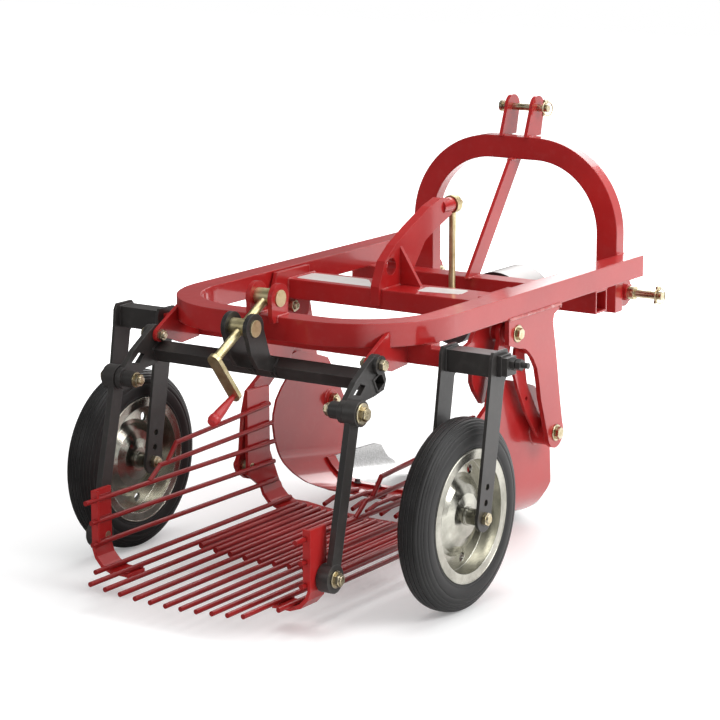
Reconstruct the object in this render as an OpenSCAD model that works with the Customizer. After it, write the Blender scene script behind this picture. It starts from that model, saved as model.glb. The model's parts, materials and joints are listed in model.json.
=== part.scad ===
// Vibrating potato digger for a small tractor, rear-mounted, shaken by the power take-off.
// X runs to the machine's right, Y forward to the tractor, Z up. The ground is z = 0.

/* [Frame] */
// half the outside width over the frame rails
rail_x = 375; // [330:1:430]
// width of the frame tube seen from above
tube_w = 60; // [40:1:80]
// underside of the frame rails above the ground
rail_z = 602; // [560:1:660]
// depth of the frame tube
tube_h = 56; // [40:1:80]
// front end of the rails
rail_front = 560; // [500:1:640]
// outside face of the rear bend
rail_rear = -652; // [-720:1:-600]
// outside radius of the rear corners
bend_r = 250; // [180:1:280]
// rear face of the lower cross beam
beam_y = 296; // [260:1:340]
// side of the square cross beam
beam_w = 60; // [40:1:70]
// rear face of the arch
arch_y = 520; // [480:1:520]
// depth of the arch tube, front to rear
arch_d = 40; // [30:1:60]
// width of the arch tube
arch_w = 60; // [40:1:70]
// top of the arch
arch_z = 952; // [900:1:1000]
// outside radius of the arch corners
arch_r = 245; // [150:1:250]
// lower ends of the arch legs
arch_foot = 502; // [480:1:540]

/* [Hitch] */
// distance of a lower link lug's outer face from the centre
lug_x = 309; // [280:1:310]
// forward position of the lower link pins
pin_y = 585; // [570:1:610]
// height of the lower link pins
pin_z = 548; // [530:1:570]
// radius of the lower link pins
pin_r = 11; // [9:0.5:14]
// forward position of the top link pin
top_y = 574; // [560:1:600]
// height of the top link pin
top_z = 1026; // [1000:1:1050]
// radius of the top link pin
top_r = 9.5; // [8:0.5:13]

/* [Wheels] */
// radius of a tyre
tyre_r = 226; // [200:1:240]
// width of a tyre
tyre_w = 74; // [60:1:84]
// distance of a wheel's middle from the centre
wheel_x = 477; // [470:1:520]
// position of the axles
wheel_y = -550; // [-560:1:-530]
// radius of the rim's edge
rim_r = 156; // [140:1:170]
// inside gap of a wheel fork
fork_gap = 125; // [110:1:130]
// thickness of a fork leg
fork_t = 8; // [6:1:12]

/* [Sieve] */
// outer face of the sieve's straps
sieve_x = 312; // [300:1:314]
// thickness of the straps
strap_t = 8; // [5:1:10]
// radius of a sieve rod
rod_r = 6; // [4:0.5:7]
// floor rods on each side of the middle one
rod_pairs = 5; // [3:1:6]
// distance between the floor rods
rod_pitch = 43.4; // [36:0.1:48]
// height of the middle floor rod
floor_z = 52; // [46:1:60]
// rise of the outermost floor rods above the middle one
floor_rise = 14; // [6:1:20]
// rear ends of the floor rods
rods_rear = -1035; // [-1060:1:-980]
// front ends of the floor rods
rods_front = -200; // [-210:1:-180]

/* [Share] */
// outside face of the share's walls
share_x = 318; // [316:1:322]
// thickness of the share's sheet
share_t = 6; // [4:1:8]
// outside radius of the share's rolled corners
share_r = 100; // [60:1:120]
// slope of the share's floor, degrees
share_tilt = 8.8; // [6:0.1:9]
// thickness of the bare blade
blade_t = 8; // [6:1:10]

/* [Hidden] */
$fn = 48;
mid_x = -29.5;
mid_y = 206;
rail_in = rail_x - tube_w;
rail_top = rail_z + tube_h;
bend_y = rail_rear + bend_r;
bend_x = rail_x - bend_r;
beam_z = rail_z - beam_w;
arch_front = arch_y + arch_d;
// side plates: the rocker's, the legs' and the lift arm's
rk_in = 297;
rk_t = 12;
rk_out = rk_in + rk_t;
leg_t = 12;
leg_in = rail_x - leg_t;
arm_in = 308.3;
arm_out = 322.3;
// rocker arms and stays between them and the legs
rod_arm_in = 331;
rod_arm_out = 343;
// pivots of the rocker, the share, the lift arm and the links
piv_y = -105;
piv_z = 561;
shp_y = 94;
shp_z = 272;
lift_y = -654;
lift_z = 578;
top_link_y = -773;
top_link_z = 492;
low_link_y = -859;
low_link_z = 128;
// bore of the drop links' feet, wide enough for what the couplings leave open
foot_bore = 11.3;
lug_y = -275;
lug_z = 167;
// wheel beam and the square bar of the lift arm
wb_y = -499;
wb_w = 40;
wb_z = 552;
sq_y = -646;
sq_z = 537;
sq_w = 36;
// lever tip and tie rod
tip_y = 215;
tip_z = 802;
tip_x = -26;
rod_y = 246;
// upper and lower barrels of the screw
bu_y = -640;
bu_z = 700;
bl_y = -740;
bl_z = 645;
bar_x = 9;
barrel_r = 20;
screw_dir = [0, bl_y - bu_y, bl_z - bu_z] / norm([0, bl_y - bu_y, bl_z - bu_z]);
crank_way = [0, -screw_dir[2], screw_dir[1]];
crank_len = 101;
crank_turn = 11;
axle_z = tyre_r;
pto_z = 490;
pto_r = 17.5;
// floor of the share at its rear edge
share_back = -40;
share_z = 62;

// a flat profile in Y and Z carried along X
module slab(x0, x1) {
  translate([x0, 0, 0]) rotate([90, 0, 90]) linear_extrude(x1 - x0) children();
}
// a round bar along X
module xbar(x0, x1, y, z, r) {
  translate([x0, y, z]) rotate([0, 90, 0]) cylinder(h = x1 - x0, r = r);
}
// a round bar along Y
module ybar(y0, y1, x, z, r) {
  translate([x, y0, z]) rotate([-90, 0, 0]) cylinder(h = y1 - y0, r = r);
}
// a round bar between two points
module bar(p, q, r) {
  d = q - p;
  l = norm(d);
  translate(p) rotate([0, acos(d[2] / l), atan2(d[1], d[0])]) cylinder(h = l, r = r);
}
// stands its children's Z along a direction
module aim(p, d) {
  translate(p) rotate([0, acos(d[2] / norm(d)), atan2(d[1], d[0])]) children();
}
// a box from corner to corner
module block(a, b) {
  translate(a) cube(b - a);
}
// a hexagon bar along X
module xhex(x0, x1, y, z, af) {
  translate([x0, y, z]) rotate([0, 90, 0]) cylinder(h = x1 - x0, d = af / cos(30), $fn = 6);
}
// the middles of the width and the length stand at x = 0 and y = 0
module placed() {
  translate([mid_x, mid_y, 0]) children();
}
// the right side for s = 1, the left one for -1
module side(s) {
  mirror([s < 0 ? 1 : 0, 0, 0]) children();
}
// left and right
module both() {
  children();
  mirror([1, 0, 0]) children();
}
// left and right in a profile
module both2() {
  children();
  mirror([1, 0]) children();
}
// a flat strip between two points of a profile
module strip(p, q, w) {
  d = q - p;
  translate(p) rotate(atan2(d[1], d[0])) translate([0, -w / 2]) square([norm(d), w]);
}
// a disc in a profile
module disc(p, r) {
  translate(p) circle(r);
}

// U-bent rectangular tube, open to the front
module frame_tube() {
  color([0.62, 0.07, 0.09]) placed()
  translate([0, 0, rail_z]) linear_extrude(tube_h) difference() {
    bend(rail_x, rail_rear, bend_r, rail_front);
    bend(rail_in, rail_rear + tube_w, bend_r - tube_w, rail_front + 1);
  }
}
// outline of a U bend, closed at its low end
module bend(x, low, r, high) {
  translate([-x, low + r]) square([2 * x, high - low - r]);
  translate([r - x, low]) square([2 * (x - r), r + 1]);
  both2() translate([x - r, low + r]) intersection() {
    circle(r, $fn = 96);
    translate([-r, -r]) square([2 * r, r]);
  }
}

// hollow square beam under the rails
module low_beam() {
  color([0.62, 0.07, 0.09]) placed()
  difference() {
    block([-rail_x, beam_y, beam_z], [rail_x, beam_y + beam_w, rail_z]);
    block([-rail_x - 1, beam_y + 5, beam_z + 5], [rail_x + 1, beam_y + beam_w - 5, rail_z - 5]);
  }
}

// bent arch between the rails
module arch() {
  color([0.62, 0.07, 0.09]) placed()
  translate([0, arch_y, 0]) rotate([90, 0, 0]) mirror([0, 0, 1]) linear_extrude(arch_d) difference() {
    mirror([0, 1]) bend(rail_in, -arch_z, arch_r, -arch_foot);
    mirror([0, 1]) bend(rail_in - arch_w, arch_w - arch_z, arch_r - arch_w, 1 - arch_foot);
  }
}

// flat stay from the arch down to the beam
module arch_strut() {
  color([0.62, 0.07, 0.09]) placed()
  slab(-5, 5) polygon([[274, rail_z], [336, rail_z], [554, arch_z - arch_w], [494, arch_z - arch_w]]);
}

// two slanted ears for the top link
module top_link_ears() {
  color([0.62, 0.07, 0.09]) placed()
  both() slab(33, 43) difference() {
    union() {
      polygon([[arch_y - 8, arch_z], [590, arch_z], [top_y + 32, top_z - 4], [top_y - 28, top_z + 14]]);
      disc([top_y, top_z], 33);
    }
    disc([top_y, top_z], top_r + 0.05);
  }
}

// top link pin with its head and linch pin
module top_link_pin() {
  color([0.72, 0.62, 0.36]) placed() {
    xbar(-64, 74, top_y, top_z, top_r);
    xbar(-72, -64, top_y, top_z, 15);
  }
}

// round-nosed lugs on the arch's legs with the pins' collars
module hitch_lugs() {
  color([0.62, 0.07, 0.09]) placed()
  both() difference() {
    union() {
      slab(lug_x - 25, lug_x) intersection() {
        union() {
          translate([arch_front, pin_z - 37]) square([pin_y - arch_front, 74]);
          disc([pin_y, pin_z], 38);
        }
        translate([arch_front, 0]) square(700);
      }
      xbar(lug_x - 1, lug_x + 14, pin_y, pin_z, 22);
    }
    xbar(lug_x - 30, lug_x + 40, pin_y, pin_z, pin_r + 0.05);
  }
}

// a lower link pin with its shoulder and nut
module hitch_pin(s) {
  color([0.72, 0.62, 0.36]) placed()
  side(s) {
    xbar(lug_x - 50, lug_x + 112, pin_y, pin_z, pin_r);
    xbar(lug_x + 14, lug_x + 32, pin_y, pin_z, 18);
    xhex(lug_x - 42, lug_x - 25, pin_y, pin_z, 32);
  }
}
module hitch_pin_left() { hitch_pin(-1); }
module hitch_pin_right() { hitch_pin(1); }

// fixed side plate that carries the rocker and the share
module leg(s) {
  color([0.62, 0.07, 0.09]) placed() side(s)
  slab(leg_in, rail_x) difference() {
    union() {
      polygon([[-148, rail_z], [107, rail_z], [104, 590], [78, 580], [72, 561], [89, 486], [114, 353],
        [130, 282], [shp_y, shp_z], [57, 262], [16, 372], [5, 420], [-6, 457], [-28, 487],
        [-48, 505], [-68, 517], [-93, 521], [-147, 538]]);
      disc([shp_y, shp_z], 39);
    }
    disc([piv_y, piv_z], 10.05);
    disc([shp_y, shp_z], 10.05);
  }
}
module leg_left() { leg(-1); }
module leg_right() { leg(1); }

// bolts on which the rocker swings
module leg_pivot_bolts() {
  color([0.72, 0.62, 0.36]) placed()
  both() {
    xbar(rk_in - 12, rail_x + 2, piv_y, piv_z, 10);
    xbar(rail_x, rail_x + 4, piv_y, piv_z, 19);
    xhex(rail_x + 4, rail_x + 15, piv_y, piv_z, 30);
    xhex(rk_in - 14, rk_in - 2, piv_y, piv_z, 28);
    xbar(leg_in - 4.7, leg_in, piv_y, piv_z, 17);
  }
}

// bolts through the legs' lower ends into the share
module share_bolts() {
  color([0.72, 0.62, 0.36]) placed()
  both() {
    xbar(share_x - share_t - 26, rail_x + 2, shp_y, shp_z, 10);
    xbar(rail_x, rail_x + 4, shp_y, shp_z, 20);
    xhex(rail_x + 4, rail_x + 16, shp_y, shp_z, 30);
    xhex(share_x - share_t - 21, share_x - share_t - 6, shp_y, shp_z, 30);
  }
}

// plates under the frame's rear corners that carry the lift arm
module rear_brackets() {
  color([0.62, 0.07, 0.09]) placed()
  both() difference() {
    slab(297, 307) difference() {
      union() {
        polygon([[lift_y + 15, lift_z - 8], [-568, 544], [wb_y, 549], [wb_y, rail_z], [-560, rail_z],
          [-560, 648], [lift_y - 10, lift_z + 14]]);
        disc([lift_y, lift_z], 17);
      }
      disc([lift_y, lift_z], 8.05);
    }
    translate([bend_x, bend_y, rail_z]) cylinder(h = tube_h, r = bend_r, $fn = 96);
  }
}

// bolts of the lift arm
module lift_pivot_bolts() {
  color([0.72, 0.62, 0.36]) placed()
  both() {
    xbar(288, 340, lift_y, lift_z, 8);
    xhex(334.6, 347, lift_y, lift_z, 24);
    xhex(285, 297, lift_y, lift_z, 24);
  }
}

// two ears on the rear bend for the screw's upper barrel
module screw_ears() {
  color([0.62, 0.07, 0.09]) placed()
  difference() {
    for (x = [bar_x - 37, bar_x + 25]) slab(x, x + 12) difference() {
      union() {
        polygon([[bu_y + 33, bu_z], [bu_y + 30, rail_top - 10], [rail_rear - 14, rail_top - 14],
          [bu_y - 33, rail_top + 2], [bu_y - 33, bu_z]]);
        disc([bu_y, bu_z], 35);
      }
      disc([bu_y, bu_z], barrel_r + 0.05);
    }
    block([-100, rail_rear, rail_z], [100, rail_rear + tube_w, rail_top]);
  }
}

// square cross tube and its packing under the rails, which carries the wheel forks
module wheel_beam() {
  color([0.62, 0.07, 0.09]) placed() {
    end = wheel_x + fork_gap / 2 - 0.3;
    difference() {
      block([-end, wb_y, wb_z], [end, wb_y + wb_w, wb_z + wb_w]);
      block([-end - 1, wb_y + 5, wb_z + 5], [end + 1, wb_y + wb_w - 5, wb_z + wb_w - 5]);
    }
    block([5 - rail_x, wb_y, wb_z + wb_w], [rail_x - 5, wb_y + wb_w, rail_z]);
  }
}

// stop block, clamp block and locked rod at the right end of the wheel beam
module beam_end() {
  color([0.2, 0.2, 0.22]) placed() {
    x = wheel_x + fork_gap / 2 + fork_t;
    block([x, wb_y - 3, wb_z - 3], [x + 12, wb_y + 43, wb_z + 45]);
    block([x + 12, wb_y - 1, wb_z - 1], [x + 26, wb_y + 41, wb_z + 41]);
    xhex(x + 26, x + 38, wb_y + 20, wb_z + 26, 26);
    xhex(x + 41, x + 53, wb_y + 20, wb_z + 26, 24);
    xbar(x + 25, x + 70, wb_y + 20, wb_z + 26, 7);
  }
}

// a wheel fork: square sleeve on the wheel beam and two flat legs
module fork(s) {
  color([0.2, 0.2, 0.22]) placed() side(s) {
    xa = wheel_x - fork_gap / 2;
    xb = wheel_x + fork_gap / 2;
    for (x = [xa - fork_t, xb]) slab(x, x + fork_t) difference() {
      union() {
        polygon([[-522, 592], [-514, 606], [-455, 606], [-447, 592], [-447, 548], [-466, 530],
          [wheel_y + 29, axle_z], [wheel_y - 29, axle_z], [-545, 430], [-526, 552]]);
        disc([wheel_y, axle_z], 31);
      }
      if (x < xb) translate([wb_y - 0.1, wb_z - 0.1]) square(wb_w + 0.2);
      for (k = [1, 2]) disc([wheel_y + k * 6, axle_z + k * 36], 8);
      disc([wheel_y, axle_z], 10.05);
    }
    difference() {
      block([xa, wb_y - 6, wb_z - 6], [xb, wb_y + 46, wb_z + 46]);
      block([xa - 1, wb_y - 0.1, wb_z - 0.1], [xb + 1, wb_y + 40.1, wb_z + 40.1]);
    }
  }
}
module fork_left() { fork(-1); }
module fork_right() { fork(1); }

// a wheel axle with its nuts and spacers
module axle(s) {
  color([0.72, 0.62, 0.36]) placed() side(s) {
    xa = wheel_x - fork_gap / 2;
    xb = wheel_x + fork_gap / 2;
    xbar(xa - fork_t - 16, xb + fork_t + 2, wheel_y, axle_z, 10);
    xhex(xb + fork_t, xb + fork_t + 11, wheel_y, axle_z, 28);
    xhex(xa - fork_t - 12, xa - fork_t, wheel_y, axle_z, 28);
    xbar(xa, xa + 4, wheel_y, axle_z, 17);
    xbar(xb - 4, xb, wheel_y, axle_z, 17);
  }
}
module axle_left() { axle(-1); }
module axle_right() { axle(1); }

// pressed rim with hub
module rim_right() {
  color([0.72, 0.7, 0.66]) placed()
  translate([wheel_x, wheel_y, axle_z]) rotate([0, 90, 0]) difference() {
    rotate_extrude($fn = 96) polygon([[10.05, -58], [19, -58], [19, 12], [26, 19], [48, 16],
      [68, 8], [84, -4], [94, -9], [rim_r - 22, -12], [rim_r - 22, -37], [rim_r, -37], [rim_r, -33], [rim_r - 16, -30],
      [rim_r - 16, 30], [rim_r, 33], [rim_r, 37], [rim_r - 22, 37], [rim_r - 22, -5], [98, -2],
      [89, 2], [73, 14], [52, 22], [30, 26], [22, 26], [19, 29], [19, 58], [10.05, 58]]);
    for (a = [12, 150]) rotate(a) translate([110, 0, -20]) cylinder(h = 50, r = 11);
    for (a = [-40, 200]) rotate(a) translate([110, 0, -20]) cylinder(h = 50, r = 8);
  }
}
module rim_left() {
  translate([-2 * wheel_x, 0, 0]) rim_right();
}

// solid tyre
module tyre_right() {
  color([0.08, 0.08, 0.085]) placed()
  translate([wheel_x, wheel_y, axle_z]) rotate([0, 90, 0])
  rotate_extrude($fn = 96) polygon([[rim_r - 15.98, -29.9], [rim_r, -32.9], [rim_r + 4, -tyre_w / 2],
    [rim_r + 42, -tyre_w / 2], [tyre_r - 8, -tyre_w / 2 + 8], [tyre_r, -tyre_w / 2 + 20],
    [tyre_r, tyre_w / 2 - 20], [tyre_r - 8, tyre_w / 2 - 8], [rim_r + 42, tyre_w / 2],
    [rim_r + 4, tyre_w / 2], [rim_r, 32.9], [rim_r - 15.98, 29.9]]);
}
module tyre_left() {
  translate([-2 * wheel_x, 0, 0]) tyre_right();
}

// swinging arm that sets the height of the sieve's rear end
module lift_arm() {
  color([0.2, 0.2, 0.22]) placed()
  difference() {
    union() {
      slab(-325, 325) translate([sq_y, sq_z]) rotate(30) square(sq_w, center = true);
      both() {
        slab(arm_in, arm_out) {
          polygon([[lift_y - 8, lift_z + 22], [lift_y + 18, lift_z + 14], [-630, 578], [-614, 536],
            [-624, 514], [-664, 506], [-700, 503], [-750, 478], [top_link_y - 20, top_link_z + 12],
            [-742, 553], [-690, 585]]);
          disc([lift_y, lift_z], 24);
          disc([top_link_y, top_link_z], 27);
        }
        xbar(arm_in, 334, lift_y, lift_z, 22);
        xbar(280, arm_in + 1, top_link_y, top_link_z, 20);
      }
      for (x = [bar_x - 37, bar_x + 25]) slab(x, x + 12) {
        polygon([[bl_y - 30, bl_z - 13], [-755, 583], [-728, 548], [sq_y - 8, sq_z - 11],
          [sq_y - 1, sq_z + 14], [-682, 572], [-701, 625], [bl_y + 31, bl_z]]);
        disc([bl_y, bl_z], 34);
      }
    }
    slab(-326, 326) translate([sq_y, sq_z]) rotate(30) square(sq_w - 6, center = true);
    xbar(-400, 400, lift_y, lift_z, 8.05);
    xbar(-400, 400, top_link_y, top_link_z, 10.05);
    xbar(-60, 80, bl_y, bl_z, barrel_r + 0.05);
    both() slab(arm_in - 1, arm_out + 1) polygon([[-752, 524], [-722, 519], [-700, 538], [-722, 546]]);
  }
}

// lower barrel with the nut thread
module screw_nut() {
  color([0.76, 0.72, 0.5]) placed()
  difference() {
    xbar(bar_x - 40, bar_x + 40, bl_y, bl_z, barrel_r);
    bar([bar_x, bl_y, bl_z] - 40 * screw_dir, [bar_x, bl_y, bl_z] + 40 * screw_dir, 11.3);
  }
}

// upper barrel, threaded rod and crank
module screw() {
  color([0.76, 0.72, 0.5]) placed() {
    xbar(bar_x - 40, bar_x + 40, bu_y, bu_z, barrel_r);
    bar([bar_x, bu_y, bu_z], screw_end() + 4 * screw_dir, 10.3);
    aim(screw_end() - 5.5 * screw_dir, screw_dir) rotate(crank_turn) linear_extrude(11) {
      translate([0, -16]) square([crank_len, 32]);
      circle(16);
      translate([crank_len, 0]) circle(16);
    }
  }
}
function screw_end() = [bar_x, bl_y, bl_z] + 122 * screw_dir;

// tapered hand grip with its nut
module crank_handle() {
  color([0.75, 0.1, 0.12]) placed()
  aim(screw_end() + 5.5 * screw_dir, screw_dir) rotate(crank_turn) translate([crank_len, 0, 0]) {
    cylinder(h = 9, r = 6);
    translate([0, 0, 8]) rotate_extrude() polygon([[0, 0], [7, 0], [11, 42], [12.5, 66], [14.5, 72],
      [14.5, 80], [11, 88], [0, 90]]);
  }
}

// bolts at the upper ends of the drop links
module link_bolts() {
  color([0.72, 0.62, 0.36]) placed()
  both() {
    xbar(272, 366, top_link_y, top_link_z, 10);
    xbar(360.3, 364, top_link_y, top_link_z, 25);
    xhex(364, 376, top_link_y, top_link_z, 28);
    xbar(276, 279.7, top_link_y, top_link_z, 18);
    xhex(266, 276, top_link_y, top_link_z, 28);
  }
}

// flat links that carry the sieve's rear end
module drop_links() {
  color([0.2, 0.2, 0.22]) placed()
  both() difference() {
    union() {
      slab(328, 344) strip([top_link_y, top_link_z], [low_link_y, low_link_z], 36);
      xbar(325, 360, top_link_y, top_link_z, 30);
      xbar(314, 345, low_link_y, low_link_z, 33);
    }
    xbar(300, 380, top_link_y, top_link_z, 10.05);
    xbar(300, 380, low_link_y, low_link_z, foot_bore);
  }
}

// swinging cross tube with its side plates
module rocker() {
  color([0.62, 0.07, 0.09]) placed() {
    block([-rk_in, -118, 582], [rk_in, 2, 632]);
    both() slab(rk_in, rk_out) difference() {
      polygon([[-165, 655], [-20, 655], [-20, 540], [-55, 475], [-95, 441], [-108, 428], [-110, 398],
        [-161, 388], [-195, 425], [-210, 450], [-210, 470], [-229, 481], [-252, 490], [-253, 540],
        [-216, 550], [-197, 572]]);
      disc([piv_y, piv_z], 10.06);
    }
  }
}

// hanging arms that carry the sieve's front end, with the rocker's hubs
module rocker_arms() {
  color([0.62, 0.07, 0.09]) placed()
  both() difference() {
    union() {
      slab(rod_arm_in, rod_arm_out) {
        polygon([[piv_y - 30, piv_z - 12], [-190, 391], [-252, 356], [-271, 298], [-282, 208],
          [-304, 173], [-296, 153], [-262, 129], [-231, 120], [-204, 127], [-206, 240], [-172, 345],
          [-128, 375], [piv_y + 29, piv_z - 13]]);
        disc([piv_y, piv_z], 34);
      }
      xbar(rk_out, 358, piv_y, piv_z, 22);
    }
    xbar(rk_out - 1, 360, piv_y, piv_z, 10.06);
    xbar(rod_arm_in - 1, rod_arm_out + 1, lug_y, lug_z, 10.05);
  }
}

// lever plate with its gusset and end boss
module rocker_lever() {
  color([0.62, 0.07, 0.09]) placed() {
    difference() {
      union() {
        slab(tip_x - 12, tip_x + 13) difference() {
          polygon([[-118, 592], [-118, 632], [2, 632], [40, 668], [90, 727], [115, 738], [164, 758],
            [tip_y + 8, 780], [tip_y - 3, 822], [168, 828], [114, 813], [18, 771], [-53, 735],
            [-99, 701], [-128, 640], [-128, 592]]);
          disc([-71, 684], 22);
        }
        ybar(180, rod_y - 14, tip_x, tip_z, 20);
      }
      ybar(170, rod_y, tip_x, tip_z, 8.05);
    }
    translate([0, -20, 0]) rotate([90, 0, 0]) linear_extrude(10)
      polygon([[tip_x + 13, 632], [tip_x + 75, 632], [tip_x + 13, 730]]);
  }
}

// tie rod with its eye
module tie_rod() {
  color([0.76, 0.7, 0.5]) placed()
  difference() {
    union() {
      ybar(rod_y - 11, rod_y + 11, tip_x, tip_z, 24);
      bar([tip_x, rod_y, pto_z + 76], [tip_x, rod_y, tip_z - 20], 9);
    }
    ybar(rod_y - 12, rod_y + 12, tip_x, tip_z, 15.06);
    xbar(tip_x - 20, tip_x + 20, rod_y, tip_z, 5.05);
  }
}

// bolt with the ball in the tie rod's eye; two short cross pins carry the hinge
module lever_bolt() {
  color([0.76, 0.7, 0.5]) placed() {
    ybar(172, rod_y + 40, tip_x, tip_z, 8);
    translate([tip_x, rod_y, tip_z]) sphere(15);
    xbar(tip_x - 19, tip_x + 19, rod_y, tip_z, 5);
    ybar(rod_y - 13.9, rod_y - 12, tip_x, tip_z, 14);
    ybar(rod_y + 12, rod_y + 16, tip_x, tip_z, 14);
    translate([tip_x, rod_y + 16, tip_z]) rotate([-90, 0, 0]) cylinder(h = 12, d = 24 / cos(30), $fn = 6);
  }
}

// strap of the eccentric at the tie rod's foot
module eccentric_strap() {
  color([0.3, 0.3, 0.32]) placed() {
    ybar(rod_y - 16, rod_y + 16, -20, pto_z, 60);
    ybar(rod_y - 22, rod_y - 15, -20, pto_z, 34);
    translate([tip_x, rod_y, pto_z + 40]) cylinder(h = 36, r = 14);
  }
}

// bolts between the rocker's arms and the sieve
module sieve_bolts() {
  color([0.72, 0.62, 0.36]) placed()
  both() {
    xbar(sieve_x - strap_t + 0.1, 352, lug_y, lug_z, 10);
    xbar(sieve_x + 0.3, rod_arm_in - 0.3, lug_y, lug_z, 17);
    xhex(rod_arm_out + 0.3, 354, lug_y, lug_z, 28);
  }
}

// bolts through the drop links' feet
module link_foot_bolts() {
  color([0.72, 0.62, 0.36]) placed()
  both() {
    xbar(sieve_x - strap_t + 0.1, 358, low_link_y, low_link_z, 10);
    xbar(345.3, 349, low_link_y, low_link_z, 20);
    xhex(349, 361, low_link_y, low_link_z, 28);
  }
}

// height of the floor rods' middles across the sieve
function floor_at(x) = floor_z + floor_rise * pow(x / (rod_pairs * rod_pitch), 2);
// U section of the sieve's straps; its floor lies just under the rods
module strap_profile(top) {
  under = rod_r + 0.15;
  side = [[0, top], [0, 105], [-8, 83], [-27, 62], [-55, floor_at(217) - under - 8]];
  inner = [[-8, top], [-8, 106.6], [-15, 88.5], [-32, 71], [-56, floor_at(217) - under]];
  xs = [for (k = [rod_pairs:-1:-rod_pairs]) k * rod_pitch];
  polygon(concat([for (p = side) [sieve_x + p[0], p[1]]],
    [for (x = xs) [x, floor_at(x) - under - 8]],
    [for (k = [4:-1:0]) [-sieve_x - side[k][0], side[k][1]]],
    [for (k = [0:4]) [-sieve_x - inner[k][0], inner[k][1]]],
    [for (k = [2 * rod_pairs:-1:0]) [xs[k], floor_at(xs[k]) - under]],
    [for (k = [4:-1:0]) [sieve_x + inner[k][0], inner[k][1]]]));
}
module strap(y0, y1, top) {
  translate([0, y1, 0]) rotate([90, 0, 0]) linear_extrude(y1 - y0) strap_profile(top);
}

// bent straps that carry the sieve rods; the rear ones end under the second rod from each side
strap_end = 207;
module sieve_straps() {
  color([0.62, 0.07, 0.09]) placed() {
    difference() {
      union() {
        strap(-910, -845, 247);
        both() block([sieve_x - 20, -910, 118], [sieve_x - 4, -904, 247]);
      }
      both() for (z = [119, 172.8, 225.6]) ybar(-920, -900, side_x, z, rod_r + 0.3);
      both() xbar(sieve_x - 10, sieve_x + 1, low_link_y, low_link_z, 10.05);
      slab(-strap_end, strap_end) translate([-911, 0]) square([67, 100]);
    }
    difference() {
      intersection() {
        strap(-293, -152, 370);
        slab(-320, 320) polygon([[-293, 370], [-197, 366], [-196, 195], [-152, 99], [-152, 20],
          [-233, 20], [-233, 104], [-310, 160], [-310, 200]]);
      }
      both() xbar(sieve_x - 10, sieve_x + 1, lug_y, lug_z, 10.05);
    }
  }
}

// a point 2 mm past q on the way from p
function beyond(p, q) = q + 2 * (q - p) / norm(q - p);

// long round rods of the sieve's floor
module sieve_rods() {
  color([0.58, 0.07, 0.09]) placed() {
    for (k = [-rod_pairs:rod_pairs]) {
      x = k * rod_pitch;
      ybar(rods_rear, rods_front, x, floor_at(x), rod_r);
    }
    both() ybar(-962, -167, 261, 68.95, rod_r);
  }
}

// rods of the sieve's sides; the two top ones are kinked down onto the next rod
side_x = sieve_x - strap_t - rod_r - 0.2;
// front end, rear end or kink, foot: y, z
side_rods = [[[-206, 320], [-598, 300], [-634, 261]],
  [[-195, 268], [-663, 257], [-706, 227]],
  [[-187, 217], [-948, 226]],
  [[-187, 164], [-928, 173]],
  [[-174, 113], [-926, 119]]];
module sieve_side_rods() {
  color([0.58, 0.07, 0.09]) placed()
  both() for (s = side_rods) {
    p = [for (q = s) [side_x, q[0], q[1]]];
    if (len(s) == 2) bar(p[0], p[1], rod_r);
    if (len(s) == 3) {
      bar(p[0], beyond(p[0], p[1]), rod_r);
      bar(beyond(p[2], p[1]), p[2], rod_r - 0.4);
    }
  }
}

// short thick bars between the floor rods
module sieve_bars() {
  color([0.5, 0.06, 0.08]) placed()
  for (k = [0.5:1:rod_pairs - 0.5]) both() {
    x = k * rod_pitch;
    ybar(-640, -197, x, floor_at(x) + 1.2, 7);
  }
}

// U section of the share, thickness t, standing off by d from the outside
module trough(d, t) {
  difference() {
    trough_face(d);
    trough_face(d + t);
  }
}
module trough_face(d) {
  x = share_x - d;
  r = share_r - d;
  translate([-x, r + d]) square([2 * x, 500 - d]);
  translate([r - x, d]) square([2 * (x - r), r + 1]);
  both2() translate([x - r, r + d]) circle(r, $fn = 96);
}
module sloped(d, t) {
  translate([0, share_back, share_z]) rotate([-share_tilt, 0, 0]) translate([0, 480, 0])
    rotate([90, 0, 0]) linear_extrude(700) trough(d, t);
}

// rolled share with side walls and the folded band behind the blade
module share() {
  color([0.62, 0.07, 0.09]) placed()
  difference() {
    union() {
      intersection() {
        sloped(0, share_t);
        slab(-330, 330) polygon([[-101, 422], [-59, 430], [14, 412], [84, 388], [94, 375], [142, 299],
          [161, 265], [168, 200], [174, 117], [158, 90], [148, 62], [141, 45], [140, -5],
          [share_back, -5], [share_back, 64], [-78, 86], [-105, 114], [-127, 143], [-145, 177],
          [-162, 220], [-168, 254], [-166, 280], [-152, 317], [-129, 344], [-101, 368]]);
      }
      intersection() {
        sloped(share_t, blade_t);
        slab(-330, 330) polygon([[64, 119], [102, 116], [121, 37], [128, 0], [74, 0], [83, 60]]);
      }
    }
    xbar(-340, 340, shp_y, shp_z, 10.05);
  }
}

// bare steel blade with a hollow front edge and raised tips
module share_blade() {
  color([0.6, 0.6, 0.6]) placed()
  difference() {
    intersection() {
      sloped(share_t, blade_t);
      slab(-330, 330) polygon([[102, 116], [306, 106], [334, 96], [352, 60], [380, 40], [380, -5],
        [129, -5], [128, 0], [121, 37]]);
    }
    translate([0, 1331, -20]) cylinder(h = 200, r = 1001, $fn = 300);
    // the right end is cut back to the wall's front edge
    translate([0, 0, -20]) linear_extrude(200)
      polygon([[60, 334], [172, 265], [230, 205], [345, 140], [345, 420], [60, 420]]);
  }
}

// height of a rod that lies on the share's floor
function on_share(y) = share_z + (share_back - y) * tan(share_tilt)
  + (share_t + rod_r + 0.15) / cos(share_tilt);
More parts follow.
